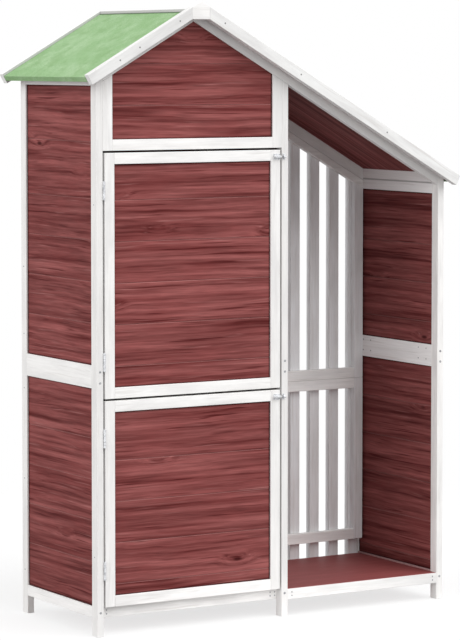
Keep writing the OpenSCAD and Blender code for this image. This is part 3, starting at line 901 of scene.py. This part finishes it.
def sideNailPlaces():
    look = sideNails
    for wall, facing, corner in (("left_wall", left, 0), ("right_wall", right, 1)):
        low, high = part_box(wall + "_stiles")
        x = (low, high)[corner].x
        for z in look["backStile"]:
            yield (x, high.y - look["inset"], z), facing
        for z in look["frontStile"]:
            yield (x, low.y + look["inset"], z), facing
    for wall, facing, corner in (("divider", right, 1), ("right_wall", left, 0)):
        low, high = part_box(wall + "_rails")
        x = (low, high)[corner].x
        for z in look["railHeights"]:
            for inset in look["railEnds"]:
                yield (x, low.y + inset, z), facing
                yield (x, high.y - inset, z), facing
    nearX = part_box("divider_stiles")[1].x + look["floorInset"]
    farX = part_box("right_wall_stiles")[0].x - look["floorInset"]
    for x in (nearX, farX):
        for z in look["floorRail"]:
            yield (x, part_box("floor_rails")[0].y, z), front
    # the rail under the lower door stands back behind it
    doorRailFront = doorFront + look["doorRailBack"]
    for inset in look["doorRail"]:
        for z in look["floorRail"]:
            yield (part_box("divider_stiles")[0].x - inset, doorRailFront, z), front
            yield (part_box("left_wall_stiles")[1].x + inset, doorRailFront, z), front


addFixings("sideNails", "shed", list(sideNailPlaces()), fixings["nailRadius"])

# screws of the latch plates; the keepers' plates are twice keeperHalf tall
plateScrews = {"plate": 0.0012, "apart": 0.0058, "fromEnd": 0.003, "keeperHalf": 0.008}


def platePlaces(x, z):
    return [((x, doorFront - plateScrews["plate"], z + side * plateScrews["apart"]), front) for side in (-1, 1)]


for label, body in (("lower", "lower_door"), ("upper", "shed")):
    low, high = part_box(label + "_latch")
    middle = (low.z + high.z) / 2
    nearPlaces = platePlaces(low.x + plateScrews["fromEnd"], middle)
    farPlaces = platePlaces(high.x - plateScrews["fromEnd"], middle)
    addFixings(label + "LatchScrews", body, nearPlaces + farPlaces, fixings["tinyRadius"])
keeperLow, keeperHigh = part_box("latch_keepers")
keeperX = (keeperLow.x + keeperHigh.x) / 2
lowerPlaces = platePlaces(keeperX, keeperLow.z + plateScrews["keeperHalf"])
upperPlaces = platePlaces(keeperX, keeperHigh.z - plateScrews["keeperHalf"])
addFixings("keeperScrews", "shed", lowerPlaces + upperPlaces, fixings["tinyRadius"])
print("screws and nails set")


# studio: pale floor, soft light, camera

studio = {
    "skyLight": 0.68,
    "lamps": {"sideSun": ((0.95, 0.12, -0.35), 1.6), "frontSun": ((-0.35, 0.62, -0.70), 2.2)},  # aim, strength
    "lampAngle": 60.0,
    "floorTone": (0.93, 0.93, 0.93, 1.0),
    "floorBounce": (0.28, 0.28, 0.28, 1.0),  # what the floor throws back on the shed, except under it
    "underShed": (1.45, 3.0, 1.0),           # scale of the oval under the shed
    "underBlend": (0.8, 1.2),
    "floorRadius": 6.0,
    "floorSides": 96,
    "floorRoughness": 0.9,
    "floorSpecular": 0.1,
    "floorFade": (0.9, 2.6),
    "floorVeil": 0.74,                       # share of white that lies over the shadow
}


# rays that show the surroundings, as against rays that light the shed
def shownRays(tree):
    rays = addNode(tree, "ShaderNodeLightPath").outputs
    bare = calc(tree, "MAXIMUM", rays["Is Camera Ray"], rays["Is Glossy Ray"])
    return calc(tree, "MAXIMUM", bare, rays["Is Transmission Ray"])


def makeFloorPaper():
    made, tree, shader = newMaterial("floorPaper")
    shader.inputs["Roughness"].default_value = studio["floorRoughness"]
    shader.inputs["Specular IOR Level"].default_value = studio["floorSpecular"]
    here = objectPlace(tree)
    shown = shownRays(tree)
    fromMiddle = vectorValue(tree, "LENGTH", vectorCalc(tree, "MULTIPLY", here, studio["underShed"]))
    beyond = remap(tree, fromMiddle, *studio["underBlend"])
    bounce = mixColour(tree, beyond, studio["floorTone"], studio["floorBounce"])
    tree.links.new(mixColour(tree, shown, bounce, studio["floorTone"]), shader.inputs["Base Color"])
    # the paper fades into the white surroundings away from the shed, and from below it doesn't hide the shed
    fade = remap(tree, vectorValue(tree, "LENGTH", here), *studio["floorFade"], studio["floorVeil"], 1.0)
    veil = calc(tree, "MAXIMUM", calc(tree, "MULTIPLY", fade, shown), geometryOf(tree, "Backfacing"))
    clear = addNode(tree, "ShaderNodeBsdfTransparent").outputs[0]
    mixed = addNode(tree, "ShaderNodeMixShader", {0: veil, 1: shader.outputs[0], 2: clear}).outputs[0]
    tree.links.new(mixed, tree.nodes["Material Output"].inputs["Surface"])
    return made


def makeFloor():
    disc = bmesh.new()
    bmesh.ops.create_circle(disc, cap_ends=True, segments=studio["floorSides"], radius=studio["floorRadius"])
    floor = addPiece("floor", disc, makeFloorPaper())
    floor.location.z = cadLow.z


def makeSky():
    world = bpy.data.worlds.new("studioSky")
    world.use_nodes = True
    tree = world.node_tree
    strength = remap(tree, shownRays(tree), 0.0, 1.0, studio["skyLight"], 1.0, smooth=False)
    sky = tree.nodes["Background"]
    sky.inputs["Color"].default_value = (1.0, 1.0, 1.0, 1.0)
    tree.links.new(strength, sky.inputs["Strength"])
    bpy.context.scene.world = world


def makeLamps():
    for name, (aim, strength) in studio["lamps"].items():
        lamp = bpy.data.lights.new(name, "SUN")
        lamp.energy = strength
        lamp.angle = math.radians(studio["lampAngle"])
        sun = bpy.data.objects.new(name, lamp)
        sun.rotation_euler = Vector(aim).to_track_quat("-Z", "Y").to_euler()
        bpy.context.scene.collection.objects.link(sun)


# the photograph's view, for an image of 460 by 640
cameraView = {
    "place": (-4.3285, -7.1720, 1.5576),
    "yaw": 31.062,
    "tilt": 3.58,
    "focalPixels": 2968.7,
    "imageHeight": 640,
    "sensor": 36.0,
    "shift": -0.12,
    "clipEnd": 100.0,
}


def makeCamera():
    lens = bpy.data.cameras.new("photoView")
    lens.sensor_width = cameraView["sensor"]
    lens.lens = cameraView["focalPixels"] * cameraView["sensor"] / cameraView["imageHeight"]
    lens.shift_y = cameraView["shift"]
    lens.clip_end = cameraView["clipEnd"]
    camera = bpy.data.objects.new("photoView", lens)
    camera.location = cameraView["place"]
    camera.rotation_euler = (math.radians(90 - cameraView["tilt"]), 0.0, -math.radians(cameraView["yaw"]))
    bpy.context.scene.collection.objects.link(camera)
    bpy.context.scene.camera = camera


makeFloor()
makeSky()
makeLamps()
makeCamera()
bpy.context.scene.view_settings.view_transform = "Standard"
print("studio ready")
